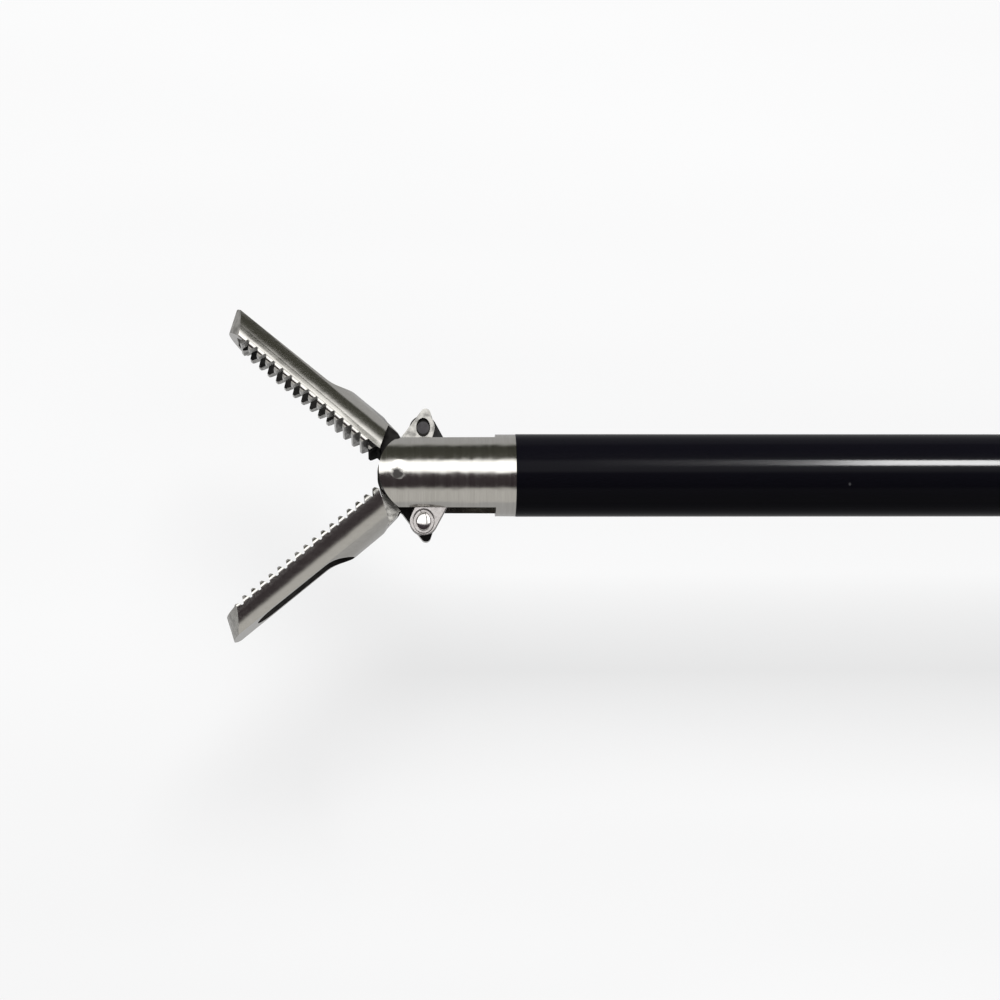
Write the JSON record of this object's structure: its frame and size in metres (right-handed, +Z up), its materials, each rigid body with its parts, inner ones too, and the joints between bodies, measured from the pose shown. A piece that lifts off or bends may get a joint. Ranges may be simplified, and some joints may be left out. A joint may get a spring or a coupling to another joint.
{
  "type": "laparoscopic bowel grasping forceps",
  "caption": "Ring-handled laparoscopic grasper with toothed, windowed double-action jaws and an insulated shaft that turns in its handle.",
  "frame": {"origin": "on the shaft's axis, at the front face of the black insulation, behind the clevis's collar", "axes": "+X along the shaft towards the handle, Y across the open jaws with the rings towards -Y, +Z up from the side that the instrument lies on"},
  "size_m": [0.4242, 0.1279, 0.022],
  "materials": {
    "jaw_steel": "satin, fine lengthwise brushing",
    "link_steel": "bright tumbled",
    "rivet_steel": "polished",
    "clevis_steel": "satin, turned",
    "tube_steel": "drawn",
    "insulation": "satin black",
    "knob_plastic": "fine moulded grain",
    "handle_plastic": "fine moulded grain",
    "screw_steel": "turned",
    "hub_steel": "turned",
    "rod_steel": "drawn",
    "seal_rubber": "matt",
    "contact_brass": "rolled",
    "post_plating": "polished plating"
  },
  "bodies": {
    "handle": {"handle_body": "handle_plastic", "lever_pivot_screw": "screw_steel", "lever_pivot_nut": "screw_steel", "contact_strip": "contact_brass", "connector_post": "post_plating", "post_insulator": "handle_plastic"},
    "shaft": {"clevis": "clevis_steel", "jaw_pivot_pin": "rivet_steel", "inner_tube": "tube_steel", "insulation_sleeve": "insulation", "rotation_knob": "knob_plastic", "knob_set_screw": "screw_steel", "shaft_hub": "hub_steel", "friction_o_ring": "seal_rubber", "hub_retaining_ring": "screw_steel", "rod_seal": "seal_rubber", "seal_retainer": "hub_steel"},
    "lever": {"thumb_lever": "handle_plastic"},
    "rod": {"pull_rod": "rod_steel", "rod_pin": "rivet_steel", "rod_ball": "rod_steel"},
    "upper_jaw": {"jaw_upper": "jaw_steel", "link_rivet_lower": "rivet_steel"},
    "lower_jaw": {"jaw_lower": "jaw_steel", "link_rivet_upper": "rivet_steel"},
    "lower_link": {"link_lower": "link_steel"},
    "upper_link": {"link_upper": "link_steel"}
  },
  "joints": [
    {"name": "thumb_lever", "type": "hinge", "parent": "handle", "child": "lever", "pos_m": [0.35615, -0.00883, 0], "axis": [0, 0, -1], "range_deg": [0, 20]},
    {"name": "shaft_rotation", "type": "hinge", "parent": "handle", "child": "shaft", "pos_m": [0, 0, 0], "axis": [1, 0, 0], "continuous": true},
    {"name": "rod_slide", "type": "slide", "parent": "shaft", "child": "rod", "axis": [1, 0, 0], "range_m": [0, 0.00311]},
    {"name": "jaw_upper_pivot", "type": "hinge", "parent": "shaft", "child": "upper_jaw", "pos_m": [-0.007, 0, 0], "axis": [0, 0, 1], "range_deg": [0, 40]},
    {"name": "jaw_lower_pivot", "type": "hinge", "parent": "shaft", "child": "lower_jaw", "pos_m": [-0.007, 0, 0], "axis": [0, 0, -1], "range_deg": [0, 40]},
    {"name": "link_lower_pivot", "type": "hinge", "parent": "upper_jaw", "child": "lower_link", "pos_m": [-0.00553, -0.00296, 0], "axis": [0, 0, -1], "range_deg": [0, 80]},
    {"name": "link_upper_pivot", "type": "hinge", "parent": "lower_jaw", "child": "upper_link", "pos_m": [-0.00553, 0.00296, 0], "axis": [0, 0, 1], "range_deg": [0, 80]}
  ],
  "couplings": [
    {"joint": "rod_slide", "follows": "thumb_lever", "m_per_rad": 0.0089192},
    {"joint": "jaw_upper_pivot", "follows": "thumb_lever", "ratio": 2},
    {"joint": "jaw_lower_pivot", "follows": "thumb_lever", "ratio": 2},
    {"joint": "link_lower_pivot", "follows": "thumb_lever", "ratio": 4},
    {"joint": "link_upper_pivot", "follows": "thumb_lever", "ratio": 4}
  ]
}
